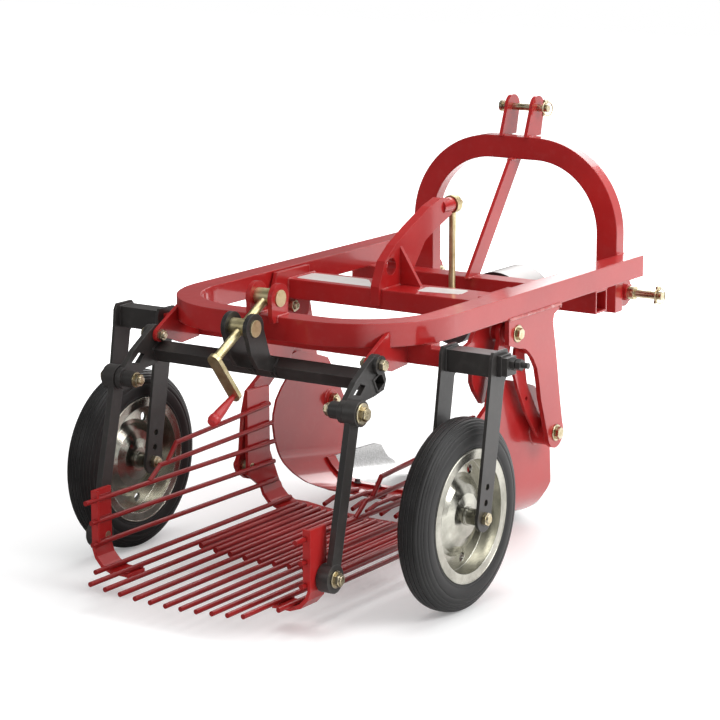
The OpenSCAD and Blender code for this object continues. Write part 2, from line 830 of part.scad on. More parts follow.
// kinked rods behind the share, above the sieve's front end
module share_fingers() {
  color([0.58, 0.07, 0.09]) placed()
  for (k = [0.5:1:3.5]) both() {
    x = k * rod_pitch;
    p = [[x, -16, on_share(-16)], [x, -44, on_share(-44)], [x, -125, 75], [x, -172, 66.5]];
    bar(p[0], beyond(p[0], p[1]), rod_r);
    bar(beyond(p[2], p[1]), beyond(p[1], p[2]), rod_r);
    bar(beyond(p[3], p[2]), p[3], rod_r);
  }
}

// stays, spacers and flanges between the legs and the share
module share_stays() {
  color([0.62, 0.07, 0.09]) placed()
  both() difference() {
    union() {
      xbar(share_x, leg_in, shp_y, shp_z, 35);
      xbar(share_x - share_t - 6, share_x - share_t, shp_y, shp_z, 26);
      slab(336, 344) polygon([[60, 262], [106, 290], [55, 330], [-1, 411], [-10, 448], [-18, 522],
        [-60, 512], [-71, 459], [-45, 407], [-7, 342]]);
      xbar(343, leg_in, -30, 505, 10);
    }
    xbar(share_x - 14, leg_in + 1, shp_y, shp_z, 10.05);
    xbar(335, 345, -4, 375, 6);
  }
}

// power take-off shaft with its flange
module pto_shaft() {
  color([0.6, 0.6, 0.6]) placed() {
    ybar(rod_y + 23, rod_y + 35, 0, pto_z, 50);
    ybar(rod_y + 34, 520, 0, pto_z, 20);
    ybar(519, 600, 0, pto_z, pto_r);
  }
}

// bearing tube hung from the beam
module pto_bearings() {
  color([0.3, 0.3, 0.32]) placed()
  difference() {
    union() {
      ybar(beam_y + 4, 436, 0, pto_z, 42);
      block([-40, beam_y + 4, pto_z], [40, beam_y + beam_w, beam_z]);
    }
    ybar(beam_y, 440, 0, pto_z, 20.05);
  }
}

// shaft guard, open to the front
module pto_guard() {
  color([0.12, 0.12, 0.13]) placed()
  difference() {
    ybar(430, 570, 0, pto_z, 105);
    ybar(436, 571, 0, pto_z, 101);
    ybar(420, 440, 0, pto_z, 42);
  }
}

frame_tube();
low_beam();
arch();
arch_strut();
top_link_ears();
top_link_pin();
hitch_lugs();
hitch_pin_left();
hitch_pin_right();
leg_left();
leg_right();
leg_pivot_bolts();
share_bolts();
rear_brackets();
lift_pivot_bolts();
screw_ears();
wheel_beam();
beam_end();
fork_left();
fork_right();
axle_left();
axle_right();
rim_left();
rim_right();
tyre_left();
tyre_right();
lift_arm();
screw_nut();
screw();
crank_handle();
link_bolts();
drop_links();
rocker();
rocker_arms();
rocker_lever();
lever_bolt();
tie_rod();
eccentric_strap();
sieve_bolts();
link_foot_bolts();
sieve_straps();
sieve_rods();
sieve_side_rods();
sieve_bars();
share();
share_blade();
share_fingers();
share_stays();
pto_shaft();
pto_bearings();
pto_guard();
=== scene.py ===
import bmesh
import bpy
import json
import math
from mathutils import Matrix, Vector


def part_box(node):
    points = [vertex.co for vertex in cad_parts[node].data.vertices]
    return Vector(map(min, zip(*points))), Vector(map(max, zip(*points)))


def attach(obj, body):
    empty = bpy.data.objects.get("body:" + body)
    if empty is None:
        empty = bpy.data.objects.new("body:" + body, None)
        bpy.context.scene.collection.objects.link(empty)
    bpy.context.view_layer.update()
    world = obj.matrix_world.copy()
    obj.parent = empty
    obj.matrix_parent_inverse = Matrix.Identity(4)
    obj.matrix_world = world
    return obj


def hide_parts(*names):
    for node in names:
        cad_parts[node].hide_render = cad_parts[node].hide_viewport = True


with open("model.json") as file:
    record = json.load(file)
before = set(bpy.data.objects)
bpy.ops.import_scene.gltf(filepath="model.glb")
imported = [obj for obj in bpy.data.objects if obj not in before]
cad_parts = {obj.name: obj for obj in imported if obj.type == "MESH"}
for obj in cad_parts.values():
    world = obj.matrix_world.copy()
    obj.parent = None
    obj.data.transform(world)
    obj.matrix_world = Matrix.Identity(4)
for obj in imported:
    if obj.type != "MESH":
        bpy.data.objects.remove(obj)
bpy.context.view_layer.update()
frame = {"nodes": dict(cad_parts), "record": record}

scene = bpy.context.scene
nodes = frame["nodes"]
tubeLow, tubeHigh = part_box("frame_tube")
zeroBack = 0.56  # the machine's own zero lies this far behind the tube's front end
origin = Vector(((tubeLow.x + tubeHigh.x) / 2, tubeHigh.y - zeroBack, 0.0))
brightSide = (0.857, 0.515, 0.0)  # level way to the bright half of the room
print("frame loaded,", len(nodes), "nodes")


def at(x, y, z):  # machine millimetres to the frame's metres
    return origin + Vector((x, y, z)) / 1000


# camera
cameraSettings = {
    "place": (3.2975, -5.076, 1.785),
    "tilt": 77.77,
    "turn": 33.39,
    "roll": -0.10,
    "lens": 124.69,
    "sensor": 36.0,
    "farEnd": 60.0,
}


def makeCamera(settings):
    data = bpy.data.cameras.new("camera")
    data.lens = settings["lens"]
    data.sensor_width = settings["sensor"]
    data.clip_end = settings["farEnd"]
    camera = bpy.data.objects.new("camera", data)
    scene.collection.objects.link(camera)
    turn = Matrix.Rotation(math.radians(settings["turn"]), 4, "Z")
    tilt = Matrix.Rotation(math.radians(settings["tilt"]), 4, "X")
    roll = Matrix.Rotation(math.radians(settings["roll"]), 4, "Z")
    camera.matrix_world = Matrix.Translation(settings["place"]) @ turn @ tilt @ roll
    scene.camera = camera


makeCamera(cameraSettings)
scene.view_settings.view_transform = "Standard"
print("camera set")


# node helpers
class Wire:  # a socket that adds Math nodes when it is calculated with
    def __init__(self, graph, socket):
        self.graph = graph
        self.socket = socket

    def __add__(self, other):
        return self.graph.maths("ADD", self, other)

    def __sub__(self, other):
        return self.graph.maths("SUBTRACT", self, other)

    def __rsub__(self, other):
        return self.graph.maths("SUBTRACT", other, self)

    def __mul__(self, other):
        return self.graph.maths("MULTIPLY", self, other)

    def __truediv__(self, other):
        return self.graph.maths("DIVIDE", self, other)

    def __rtruediv__(self, other):
        return self.graph.maths("DIVIDE", other, self)

    def above(self, other):
        return self.graph.maths("GREATER_THAN", self, other)

    __radd__ = __add__
    __rmul__ = __mul__


class Graph:
    def __init__(self, tree):
        self.tree = tree

    def feed(self, socket, value):
        if isinstance(value, Wire):
            self.tree.links.new(value.socket, socket)
        else:
            socket.default_value = value

    def add(self, kind, settings=None, sockets=None, out=0):
        node = self.tree.nodes.new(kind)
        for name, value in (settings or {}).items():
            if name != "stops":
                setattr(node, name, value)
                continue
            elements = node.color_ramp.elements
            while len(elements) > 1:
                elements.remove(elements[-1])
            for index, (place, colour) in enumerate(value):
                element = elements[0] if index == 0 else elements.new(place)
                element.position = place
                element.color = colour
        for key, value in (sockets or {}).items():
            self.feed(node.inputs[key], value)
        return Wire(self, node.outputs[out]) if node.outputs else node

    def maths(self, operation, *values):
        return self.add("ShaderNodeMath", {"operation": operation}, dict(enumerate(values)))

    def vector(self, operation, *values, out=0):
        sockets = dict(enumerate(values))
        return self.add("ShaderNodeVectorMath", {"operation": operation}, sockets, out)

    def blend(self, factor, first, second):
        sockets = {0: factor, 6: first, 7: second}
        return self.add("ShaderNodeMix", {"data_type": "RGBA"}, sockets, 2)

    def cloud(self, spot, scale, detail=3.0, rough=0.55):
        sockets = {"Vector": spot, "Scale": scale, "Detail": detail, "Roughness": rough}
        return self.add("ShaderNodeTexNoise", None, sockets)

    def curve(self, value, *stops):  # grey ramp through (place, level) pairs
        ramp = [(place, grey(level)) for place, level in stops]
        return self.add("ShaderNodeValToRGB", {"stops": ramp}, {"Fac": value})

    def rays(self):  # camera, glossy and transmission flags of the light path
        node = self.add("ShaderNodeLightPath").socket.node
        names = ("Is Camera Ray", "Is Glossy Ray", "Is Transmission Ray")
        return [Wire(self, node.outputs[name]) for name in names]


def tone(red, green, blue):
    return (red, green, blue, 1.0)


def grey(level):
    return tone(level, level, level)


def openMaterial(name):
    material = bpy.data.materials.new(name)
    material.use_nodes = True
    material.node_tree.nodes.clear()
    graph = Graph(material.node_tree)
    spot = graph.add("ShaderNodeTexCoord", out="Object")
    return material, graph, spot


def closeMaterial(graph, sockets):
    surface = graph.add("ShaderNodeBsdfPrincipled", None, sockets)
    graph.add("ShaderNodeOutputMaterial", None, {"Surface": surface})


def softEdge(graph, radius):  # rounded normal and a mask that is high on edges
    rounded = graph.add("ShaderNodeBevel", {"samples": 6}, {"Radius": radius})
    flat = graph.add("ShaderNodeNewGeometry", out="Normal")
    return rounded, 1 - graph.vector("DOT_PRODUCT", rounded, flat, out="Value")


def bump(graph, height, distance, strength, normal):
    sockets = {"Height": height, "Distance": distance, "Strength": strength, "Normal": normal}
    return graph.add("ShaderNodeBump", None, sockets)


# materials
def paint(name, settings):
    material, graph, spot = openMaterial(name)
    normal, edge = softEdge(graph, settings["edgeRadius"])
    patches = graph.cloud(spot, settings["patchScale"], 2.0)
    fine = graph.cloud(spot, settings["dustScale"], 4.0)
    peel = graph.cloud(spot, settings["peelScale"], 1.0, 0.4)
    patch = graph.curve(patches, (0.35, 0.0), (0.65, 1.0))
    body = graph.blend(patch, settings["deep"], settings["bright"])
    dust = graph.curve(fine, (0.52, 0.0), (0.8, settings["dust"]))
    body = graph.blend(dust, body, settings["dustTone"])
    rim = graph.curve(edge, (0.02, 0.0), (0.16, settings["edgeLift"]))
    closeMaterial(graph, {
        "Base Color": graph.blend(rim, body, settings["edgeTone"]),
        "Roughness": fine * settings["haze"] + settings["roughness"],
        "Specular IOR Level": settings["specular"],
        "Coat Weight": settings["coat"],
        "Coat Roughness": settings["coatRoughness"],
        "Normal": bump(graph, peel, settings["peelDepth"], settings["peel"], normal),
    })
    return material


redTube = {
    "deep": tone(0.360, 0.0115, 0.0120), "bright": tone(0.450, 0.0180, 0.0175),
    "edgeTone": tone(0.56, 0.060, 0.055), "edgeLift": 0.45, "edgeRadius": 0.0055,
    "dust": 0.04, "dustTone": tone(0.55, 0.30, 0.28), "dustScale": 46.0, "patchScale": 3.5,
    "roughness": 0.24, "haze": 0.16, "specular": 0.22, "coat": 0.65, "coatRoughness": 0.09,
    "peelScale": 180.0, "peel": 0.05, "peelDepth": 0.0006,
}
redPlate = dict(redTube, edgeRadius=0.0015, edgeLift=0.55)
# same red paint as the tubes made darker: painted shade for the sieve rods and share fingers, which
# lie in shade under the frame
redRod = dict(redTube, deep=tone(0.22, 0.0060, 0.0065), bright=tone(0.29, 0.0085, 0.009),
              coat=0.35, edgeRadius=0.0012, edgeLift=0.3, peel=0.16, roughness=0.28)
redBead = dict(redPlate, bright=tone(0.52, 0.07, 0.065), dust=0.5,
               dustTone=tone(0.72, 0.45, 0.42), edgeLift=0.2)
spatterBead = dict(redPlate, deep=tone(0.42, 0.05, 0.05), bright=tone(0.74, 0.34, 0.32),
                   dust=0.8, dustTone=tone(0.80, 0.62, 0.60), peelScale=700.0, peel=0.5)
charcoal = dict(
    redTube, deep=tone(0.022, 0.020, 0.019), bright=tone(0.036, 0.033, 0.031),
    edgeTone=tone(0.16, 0.15, 0.145), edgeLift=0.4, edgeRadius=0.0018,
    dust=0.10, dustTone=tone(0.20, 0.18, 0.17), roughness=0.36,
    specular=0.35, coat=0.2, coatRoughness=0.28, peelScale=420.0, peel=0.2)


def plated(name, settings):  # zinc with a passivated tint
    material, graph, spot = openMaterial(name)
    normal, edge = softEdge(graph, settings["edgeRadius"])
    bloom = graph.cloud(spot, settings["bloomScale"], 4.0, 0.65)
    fine = graph.cloud(spot, settings["grainScale"], 3.0)
    colour = graph.add("ShaderNodeValToRGB", {"stops": settings["tints"]}, {"Fac": bloom})
    rim = graph.curve(edge, (0.02, 0.0), (0.2, 0.6))
    closeMaterial(graph, {
        "Base Color": graph.blend(rim, colour, settings["worn"]),
        "Metallic": 1.0,
        "Roughness": bloom * settings["haze"] + settings["roughness"],
        "Normal": bump(graph, fine, 0.0004, settings["grain"], normal),
    })
    return material


goldZinc = {
    "tints": [(0.28, tone(0.34, 0.28, 0.15)), (0.45, tone(0.48, 0.41, 0.26)),
              (0.58, tone(0.58, 0.51, 0.37)), (0.75, tone(0.46, 0.39, 0.28))],
    "worn": tone(0.74, 0.68, 0.56), "edgeRadius": 0.0008, "bloomScale": 55.0,
    "haze": 0.25, "roughness": 0.16, "grain": 0.2, "grainScale": 320.0,
}
brassZinc = dict(
    goldZinc, worn=tone(0.80, 0.74, 0.58), bloomScale=38.0, roughness=0.30,
    tints=[(0.28, tone(0.46, 0.38, 0.20)), (0.45, tone(0.60, 0.52, 0.29)),
           (0.6, tone(0.70, 0.62, 0.38)), (0.78, tone(0.58, 0.50, 0.32))])
rimZinc = dict(
    goldZinc, worn=tone(0.7, 0.7, 0.66), edgeRadius=0.0025, bloomScale=14.0, haze=0.22,
    roughness=0.12, grain=0.08,
    tints=[(0.25, tone(0.24, 0.24, 0.205)), (0.45, tone(0.38, 0.37, 0.32)),
           (0.6, tone(0.50, 0.49, 0.43)), (0.8, tone(0.34, 0.32, 0.26))])


def rolledSteel(name, settings):  # bare plate with rolling marks along one way
    material, graph, spot = openMaterial(name)
    normal, edge = softEdge(graph, settings["edgeRadius"])
    sockets = {"Vector": spot, "Scale": settings["stretch"]}
    stretched = graph.add("ShaderNodeMapping", None, sockets)
    marks = graph.cloud(stretched, settings["markScale"], 5.0, 0.7)
    blots = graph.cloud(spot, settings["blotScale"], 5.0, 0.6)
    streak = graph.curve(marks, (0.35, 0.0), (0.7, 1.0))
    colour = graph.blend(streak, settings["dark"], settings["light"])
    blot = graph.curve(blots, (0.55, 0.0), (0.75, 0.6))
    colour = graph.blend(blot, colour, settings["scaleTone"])
    rim = graph.curve(edge, (0.02, 0.0), (0.2, 0.7))
    closeMaterial(graph, {
        "Base Color": graph.blend(rim, colour, settings["light"]),
        "Metallic": 1.0 - graph.curve(blots, (0.55, 0.0), (0.8, 0.35)),
        "Roughness": marks * 0.25 + settings["roughness"],
        "Normal": bump(graph, marks, 0.0005, 0.25, normal),
    })
    return material


bladeSteel = {
    "dark": tone(0.34, 0.335, 0.33), "light": tone(0.60, 0.60, 0.60),
    "scaleTone": tone(0.20, 0.19, 0.185), "stretch": (0.6, 7.0, 7.0), "roughness": 0.22,
    "edgeRadius": 0.001, "markScale": 30.0, "blotScale": 12.0,
}


def rubber(name, settings):
    material, graph, spot = openMaterial(name)
    normal, edge = softEdge(graph, settings["edgeRadius"])
    chalk = graph.cloud(spot, settings["chalkScale"], 4.0, 0.6)
    fine = graph.cloud(spot, settings["grainScale"], 2.0)
    chalked = graph.curve(chalk, (0.4, 0.0), (0.75, 1.0))
    colour = graph.blend(chalked, settings["deep"], settings["grey"])
    rim = graph.curve(edge, (0.015, 0.0), (0.12, 0.55))
    closeMaterial(graph, {
        "Base Color": graph.blend(rim, colour, settings["rubbed"]),
        "Roughness": chalk * 0.2 + settings["roughness"],
        "Specular IOR Level": settings["specular"],
        "Normal": bump(graph, fine, 0.0003, 0.35, normal),
    })
    return material


tyreRubber = {
    "deep": tone(0.010, 0.0095, 0.0095), "grey": tone(0.021, 0.0203, 0.020),
    "rubbed": tone(0.15, 0.145, 0.14), "roughness": 0.38, "specular": 0.32,
    "edgeRadius": 0.0012, "chalkScale": 9.0, "grainScale": 480.0,
}


def moulded(name, settings):
    material, graph, spot = openMaterial(name)
    normal, edge = softEdge(graph, settings["edgeRadius"])
    drift = graph.cloud(spot, settings["driftScale"], 3.0)
    grain = graph.cloud(spot, settings["grainScale"], 2.0)
    colour = graph.blend(drift, settings["deep"], settings["bright"])
    rim = graph.curve(edge, (0.02, 0.0), (0.2, 0.4))
    closeMaterial(graph, {
        "Base Color": graph.blend(rim, colour, settings["worn"]),
        "Roughness": drift * 0.15 + settings["roughness"],
        "Normal": bump(graph, grain, 0.0003, 0.3, normal),
    })
    return material


gripPlastic = {
    "deep": tone(0.38, 0.012, 0.014), "bright": tone(0.52, 0.022, 0.024),
    "worn": tone(0.7, 0.12, 0.12), "roughness": 0.28,
    "edgeRadius": 0.0015, "driftScale": 22.0, "grainScale": 700.0,
}
castIron = dict(
    gripPlastic, deep=tone(0.045, 0.045, 0.048), bright=tone(0.085, 0.083, 0.082),
    worn=tone(0.22, 0.22, 0.22), roughness=0.5)


def guardShell(name, settings):  # black shell whose outside is painted pale grey, a painted reflection of the bright room; inside and behind keep the shell's own black
    material, graph, spot = openMaterial(name)
    normal, edge = softEdge(graph, settings["edgeRadius"])
    centre = at(0, 0, settings["axisHeight"])
    away = graph.vector("SUBTRACT", spot, (centre.x, 0.0, centre.z))
    away = graph.vector("NORMALIZE", graph.vector("MULTIPLY", away, (1.0, 0.0, 1.0)))
    facing = graph.add("ShaderNodeNewGeometry", out="Normal")
    outside = graph.vector("DOT_PRODUCT", away, facing, out="Value").above(0.5)
    drift = graph.cloud(spot, settings["driftScale"], 3.0)
    # painted reflection: pale grey on the faces that look away from the axis
    paintedSheen = graph.blend(drift, settings["paintedSheen"], settings["paintedSheenBright"])
    closeMaterial(graph, {
        "Base Color": graph.blend(outside, settings["inside"], paintedSheen),
        "Roughness": drift * 0.12 + 0.3,
        "Normal": bump(graph, drift, 0.0004, 0.2, normal),
    })
    return material


guardTones = {
    # pale tones are a painted reflection on the outside of the shiny black shell; inside is the
    # shell's own black
    "paintedSheen": tone(0.36, 0.345, 0.335), "paintedSheenBright": tone(0.46, 0.44, 0.43),
    "inside": tone(0.012, 0.012, 0.012), "edgeRadius": 0.001, "driftScale": 18.0,
    "axisHeight": 490,
}


def paper(name, settings):
    material, graph, spot = openMaterial(name)
    fibre = graph.cloud(spot, settings["fibreScale"], 4.0)
    grime = graph.cloud(spot, settings["grimeScale"], 4.0)
    soiling = graph.curve(grime, (0.5, 0.0), (0.8, 0.5))
    flat = graph.add("ShaderNodeNewGeometry", out="Normal")
    closeMaterial(graph, {
        "Base Color": graph.blend(soiling, settings["clean"], settings["soiled"]),
        "Roughness": fibre * 0.2 + 0.25,
        "Normal": bump(graph, fibre, 0.0002, 0.2, flat),
    })
    return material


labelPaper = {
    "clean": tone(0.58, 0.56, 0.54), "soiled": tone(0.42, 0.37, 0.36),
    "fibreScale": 260.0, "grimeScale": 40.0,
}

finishes = {
    "redTube": paint("redTube", redTube),
    "redPlate": paint("redPlate", redPlate),
    "redRod": paint("redRod", redRod),
    "redBead": paint("redBead", redBead),
    "spatterBead": paint("spatterBead", spatterBead),
    "charcoal": paint("charcoal", charcoal),
    "goldZinc": plated("goldZinc", goldZinc),
    "brassZinc": plated("brassZinc", brassZinc),
    "rimZinc": plated("rimZinc", rimZinc),
    "bladeSteel": rolledSteel("bladeSteel", bladeSteel),
    "tyreRubber": rubber("tyreRubber", tyreRubber),
    "gripPlastic": moulded("gripPlastic", gripPlastic),
    "castIron": moulded("castIron", castIron),
    "guardShell": guardShell("guardShell", guardTones),
    "labelPaper": paper("labelPaper", labelPaper),
}
slotFinish = {
    "red_paint": "redPlate", "grey_paint": "charcoal", "gold_zinc": "goldZinc",
    "rim_zinc": "rimZinc", "tyre": "tyreRubber", "brass_zinc": "brassZinc",
    "red_grip": "gripPlastic", "bare_steel": "bladeSteel", "cast_housing": "castIron",
    "black_plastic": "guardShell",
}
tubes = ("frame_tube", "low_beam", "arch", "wheel_beam", "rocker")
rods = ("sieve_rods", "sieve_side_rods", "sieve_bars", "share_fingers")
nodeFinish = {**dict.fromkeys(tubes, "redTube"), **dict.fromkeys(rods, "redRod")}
for part in frame["record"]["subparts"]:
    name = part["node"]
    finish = finishes[nodeFinish.get(name, slotFinish[part["material_slot"]])]
    nodes[name].data.materials.clear()
    nodes[name].data.materials.append(finish)
print("materials on the nodes")


# mesh helpers
def axisFrame(point, direction):  # matrix whose X runs along the direction
    return Matrix.Translation(point) @ Vector(direction).to_track_quat("X", "Z").to_matrix().to_4x4()


def joinRings(bm, first, second):
    if len(first) == 1 and len(second) == 1:
        return
    count = max(len(first), len(second))
    for index in range(count):
        after = (index + 1) % count
        corners = [first[index % len(first)], first[after % len(first)]]
        corners += [second[after % len(second)], second[index % len(second)]]
        unique = [corner for spot, corner in enumerate(corners) if corner not in corners[:spot]]
        if len(unique) > 2:
            bm.faces.new(unique)


def circleAngles(steps):
    return [2 * math.pi * step / steps for step in range(steps)]


def turned(bm, place, profile, steps=32, closed=False):  # profile of (along, radius) in millimetres
    rings = []
    for along, radius in profile:
        if radius < 0.01:
            rings.append([bm.verts.new(place @ Vector((along / 1000, 0, 0)))])
            continue
        spots = [(along, radius * math.cos(a), radius * math.sin(a)) for a in circleAngles(steps)]
        rings.append([bm.verts.new(place @ (Vector(spot) / 1000)) for spot in spots])
    for first, second in zip(rings, rings[1:] + (rings[:1] if closed else [])):
        joinRings(bm, first, second)


def roundSection(along, radius, wide, tall, steps):  # closed profile round (along, radius)
    return [(along + wide * math.cos(a), radius + tall * math.sin(a)) for a in circleAngles(steps)]


def meshFrom(bm, name, sharp=32):
    bmesh.ops.recalc_face_normals(bm, faces=bm.faces)
    mesh = bpy.data.meshes.new(name)
    bm.to_mesh(mesh)
    bm.free()
    for polygon in mesh.polygons:
        polygon.use_smooth = True
    mesh.set_sharp_from_angle(angle=math.radians(sharp))
    return mesh


def settle(name, mesh, finish, body, replaced=()):
    piece = bpy.data.objects.new(name, mesh)
    scene.collection.objects.link(piece)
    mesh.materials.clear()
    mesh.materials.append(finishes[finish])
    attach(piece, body)
    if replaced:
        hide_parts(*replaced)
    return piece


def bakeTree(name, mesh, tree, values):  # runs a node tree on a mesh and returns the plain result
    carrier = bpy.data.objects.new(name, mesh)
    scene.collection.objects.link(carrier)
    modifier = carrier.modifiers.new("tree", "NODES")
    modifier.node_group = tree
    for item in tree.interface.items_tree:
        if item.item_type == "SOCKET" and item.in_out == "INPUT" and item.name in values:
            modifier[item.identifier] = values[item.name]
    graph = bpy.context.evaluated_depsgraph_get()
    result = bpy.data.meshes.new_from_object(carrier.evaluated_get(graph))
    carrier.modifiers.remove(modifier)
    bpy.data.objects.remove(carrier)
    return result


def openTree(name, inputs):
    tree = bpy.data.node_groups.new(name, "GeometryNodeTree")
    tree.interface.new_socket("Geometry", in_out="INPUT", socket_type="NodeSocketGeometry")
    tree.interface.new_socket("Geometry", in_out="OUTPUT", socket_type="NodeSocketGeometry")
    for label, kind in inputs:
        tree.interface.new_socket(label, in_out="INPUT", socket_type="NodeSocket" + kind)
    graph = Graph(tree)
    entry = tree.nodes.new("NodeGroupInput")
    labels = ["Geometry"] + [label for label, kind in inputs]
    return tree, graph, {label: Wire(graph, entry.outputs[label]) for label in labels}


def closeTree(graph, geometry, finish):
    solid = graph.add("GeometryNodeRealizeInstances", None, {"Geometry": geometry})
    solid = graph.add("GeometryNodeSetMaterial", None, {"Geometry": solid, "Material": finish})
    graph.add("NodeGroupOutput", None, {"Geometry": solid})


# wheels
def sideWord(side):
    return "right" if side > 0 else "left"


def wheelPlace(side, settings):
    middle = at(side * settings["wheelX"], settings["wheelY"], settings["radius"])
    return axisFrame(middle, (1, 0, 0))


tyreSettings = {
    "wheelX": 477.0, "wheelY": -550.0, "radius": 226.0, "steps": 160,
    # across, radius from the bead over the wall to the middle of the tread
    "half": [(29.9, 140.1), (32.9, 156.0), (35.2, 157.6), (36.8, 160.4), (37.2, 163.0), (36.3, 164.2),
             (36.6, 166.0), (37.8, 169.0), (38.6, 175.0), (38.8, 181.0), (38.2, 187.0), (37.4, 190.0),
             (36.4, 191.0), (36.6, 192.6), (37.0, 194.0), (36.6, 197.5), (35.2, 201.5), (33.9, 203.6),
             (32.8, 203.9), (32.9, 205.8), (32.6, 207.4), (30.6, 210.8), (29.4, 211.3), (29.2, 213.2),
             (28.4, 215.0), (25.9, 217.6), (24.6, 217.8), (24.4, 219.6), (23.0, 221.4), (19.6, 223.4),
             (18.0, 223.8), (17.4, 222.2), (15.4, 222.2), (14.9, 224.6), (12.0, 225.4), (7.0, 225.8),
             (6.2, 223.4), (4.0, 223.4), (3.2, 225.9)],
}


def makeTyre(side, settings):
    half = settings["half"]
    ring = [(-across, radius) for across, radius in half]
    ring += [(0.0, settings["radius"])] + list(reversed(half))
    bm = bmesh.new()
    turned(bm, wheelPlace(side, settings), ring, settings["steps"], closed=True)
    word = sideWord(side)
    mesh = meshFrom(bm, "ribbedTyre_" + word, 40)
    settle("ribbedTyre_" + word, mesh, "tyreRubber", "wheel_" + word, ["tyre_" + word])


rimSettings = {
    # across, radius, half width, half height
    "edge": (35.4, 155.4, 2.6, 2.4),
    "hubLip": (57.6, 17.8, 1.2, 1.5),
    "hubWelds": [(11.6, 19.8, 2.4, 2.4), (29.0, 19.8, 2.4, 2.4)],
}


def makeRimBeads(side, place, settings):  # rolled edges of the rim and the welds round the hub
    bm = bmesh.new()
    for face in (-1, 1):
        for row, steps in ((settings["edge"], 128), (settings["hubLip"], 48)):
            along, radius, wide, tall = row
            section = roundSection(face * along, radius, face * wide, tall, 10)
            turned(bm, place, section, steps, closed=True)
    for row in settings["hubWelds"]:
        turned(bm, place, roundSection(*row, 8), 48, closed=True)
    word = sideWord(side)
    mesh = meshFrom(bm, "rimBeads_" + word, 60)
    settle("rimBeads_" + word, mesh, "rimZinc", "wheel_" + word)


for side in (-1, 1):
    makeTyre(side, tyreSettings)
    makeRimBeads(side, wheelPlace(side, tyreSettings), rimSettings)
print("wheels dressed")


# fasteners
hexSettings = {"steps": 36, "faceRadius": 0.47, "chamfer": 0.9}


def hexMesh(settings):  # across flats 1, height 1, both faces chamfered
    bm = bmesh.new()
    face = settings["faceRadius"]

    def hexRadius(a):
        return 0.5 / math.cos((a + math.pi / 6) % (math.pi / 3) - math.pi / 6)

    def ring(points):  # points of (along, radius, angle)
        return [bm.verts.new((along, radius * math.cos(a), radius * math.sin(a)))
                for along, radius, a in points]

    rings = []
    angles = circleAngles(settings["steps"])
    for along, way in ((0.0, 1), (1.0, -1)):
        rings.append(ring([(along, face, a) for a in angles]))
        rings.append(ring([(along + way * (hexRadius(a) - face) * settings["chamfer"], hexRadius(a), a)
                           for a in angles]))
    centres = [[bm.verts.new((0.0, 0, 0))], [bm.verts.new((1.0, 0, 0))]]
    for first, second in ((centres[0], rings[0]), (rings[0], rings[1]), (rings[1], rings[3]),
                          (rings[3], rings[2]), (rings[2], centres[1])):
        joinRings(bm, first, second)
    return meshFrom(bm, "aHex", 25)


def turnedUnit(name, profile, steps):
    bm = bmesh.new()
    turned(bm, Matrix.Scale(1000, 4), profile, steps)
    return meshFrom(bm, name, 40)


def threadProfile(turns):  # unit length and width, with a lead-in at the end
    points = [(0.0, 0.0), (0.0, 0.46)]
    for index in range(turns):
        start = index / turns * 0.86
        points += [(start + 0.01, 0.455), (start + 0.43 / turns, 0.5)]
    return points + [(0.88, 0.46), (1.0, 0.38), (1.0, 0.0)]


fastenerShapes = bpy.data.collections.new("fastenerShapes")
washerProfile = [(0.0, 0.0), (0.0, 0.49), (0.12, 0.5), (0.85, 0.5), (1.0, 0.47), (1.0, 0.0)]
shapeMeshes = [  # names are in the order of their kind numbers
    hexMesh(hexSettings),
    turnedUnit("bWasher", washerProfile, 40),
    turnedUnit("cShank", [(0.0, 0.0), (0.0, 0.5), (1.0, 0.5), (1.0, 0.0)], 24),
    turnedUnit("dThread", threadProfile(5), 24),
]
for mesh in shapeMeshes:
    fastenerShapes.objects.link(bpy.data.objects.new(mesh.name, mesh))


def makeFastenerTree():
    tree, graph, given = openTree("fasteners", [("Shapes", "Collection"), ("Finish", "Material")])

    def stored(name, kind):
        return graph.add("GeometryNodeInputNamedAttribute", {"data_type": kind}, {"Name": name})

    shapes = graph.add("GeometryNodeCollectionInfo", None, {
        "Collection": given["Shapes"], "Separate Children": True, "Reset Children": True})
    placed = graph.add("GeometryNodeInstanceOnPoints", None, {
        "Points": given["Geometry"], "Instance": shapes, "Pick Instance": True,
        "Instance Index": stored("kind", "INT"), "Rotation": stored("turn", "FLOAT_VECTOR"),
        "Scale": stored("size", "FLOAT_VECTOR"),
    })
    closeTree(graph, placed, given["Finish"])
    return tree


fastenerTree = makeFastenerTree()
kinds = {"hex": 0, "washer": 1, "shank": 2, "thread": 3}
# a part is its kind, its near and far end from the middle, and its width across
axleParts = [
    ("shank", 388, 547, 20), ("hex", 547.5, 558.5, 28), ("hex", 394.5, 406.5, 28),
    ("thread", 394.5, 386, 20), ("washer", 414.5, 418.5, 34), ("washer", 535.5, 539.5, 34),
    ("thread", 558.5, 562.5, 20)]
